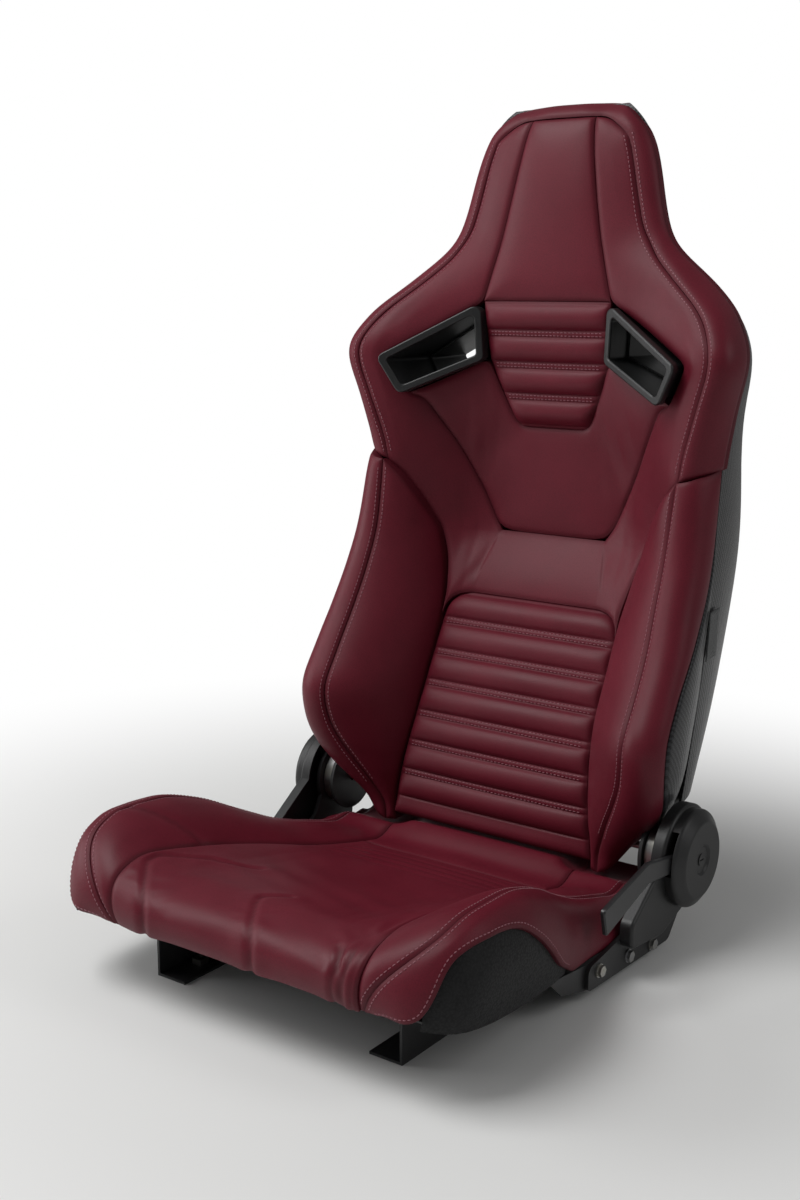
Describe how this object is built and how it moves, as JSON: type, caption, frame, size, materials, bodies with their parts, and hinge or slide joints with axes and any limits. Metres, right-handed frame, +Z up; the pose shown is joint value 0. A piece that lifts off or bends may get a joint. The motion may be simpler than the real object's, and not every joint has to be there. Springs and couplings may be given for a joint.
{
  "type": "reclining racing seat",
  "caption": "Reclining racing seat with ribbed padded back, integrated headrest, harness openings, high side bolsters, hard back shell and side lever.",
  "frame": {"origin": "centre of the four floor bolts, on the plane that the mounting rails stand on", "axes": "+Z up, -Y the way the seated person faces, +X the side of the recline lever"},
  "size_m": [0.558, 0.741, 0.942],
  "materials": {
    "leatherette": "satin burgundy synthetic leather with tone-on-tone stitching",
    "shell_laminate": "clear-coated black twill laminate",
    "moulded_cover": "black moulded plastic with a fine grain",
    "bezel_plastic": "satin black moulded plastic",
    "lever_paint": "black powder coat, satin",
    "black_steel": "black powder-coated steel",
    "zinc_steel": "zinc-plated steel",
    "webbing": "black elastic webbing",
    "skirt_fabric": "black textured vinyl skirt",
    "tag_fabric": "black woven tag, bare"
  },
  "bodies": {
    "seat_base": {"bracket_bolts": "zinc_steel", "cover_caps": "moulded_cover", "cushion_bolster_left": "leatherette", "cushion_bolster_right": "leatherette", "cushion_front_roll": "leatherette", "cushion_insert": "leatherette", "cushion_rear_roll": "leatherette", "front_cross_tube": "black_steel", "mount_rail_left": "black_steel", "mount_rail_right": "black_steel", "rear_cross_tube": "black_steel", "recliner_bracket_left": "black_steel", "recliner_bracket_right": "black_steel", "recliner_fixed_disc_left": "zinc_steel", "recliner_fixed_disc_right": "zinc_steel", "recliner_inner_cover_left": "moulded_cover", "recliner_inner_cover_right": "moulded_cover", "recliner_outer_cover_left": "moulded_cover", "recliner_outer_cover_right": "moulded_cover", "recliner_retaining_ring_left": "zinc_steel", "recliner_retaining_ring_right": "zinc_steel", "return_spring_left": "zinc_steel", "return_spring_right": "zinc_steel", "seat_pan": "black_steel", "side_skirt_left": "skirt_fabric", "side_skirt_right": "skirt_fabric", "suspension_bands": "webbing", "weld_nuts": "zinc_steel"},
    "backrest": {"back_bolster_left": "leatherette", "back_bolster_right": "leatherette", "back_hoop": "black_steel", "back_shell": "shell_laminate", "back_side_plate_left": "black_steel", "back_side_plate_right": "black_steel", "centre_panel": "leatherette", "harness_bezel_left": "bezel_plastic", "harness_bezel_right": "bezel_plastic", "harness_sleeve_left": "bezel_plastic", "harness_sleeve_right": "bezel_plastic", "headrest_pad": "leatherette", "lower_cross_bar": "black_steel", "lower_rib_pad": "leatherette", "lumbar_band": "leatherette", "middle_cross_bar": "black_steel", "recliner_moving_disc_left": "zinc_steel", "recliner_moving_disc_right": "zinc_steel", "shoulder_pad_left": "leatherette", "shoulder_pad_right": "leatherette", "side_tag": "tag_fabric", "upper_rib_pad": "leatherette"},
    "lever": {"lever_hub": "zinc_steel", "recline_lever": "lever_paint", "sync_rod": "zinc_steel"}
  },
  "joints": [
    {"name": "backrest_recline", "type": "hinge", "parent": "seat_base", "child": "backrest", "pos_m": [0, 0.222, 0.106], "axis": [1, 0, 0], "range_deg": [-55, 55]},
    {"name": "recline_lever", "type": "hinge", "parent": "seat_base", "child": "lever", "pos_m": [0, 0.222, 0.106], "axis": [-1, 0, 0], "range_deg": [0, 25], "stiffness_Nm_per_rad": 2}
  ]
}
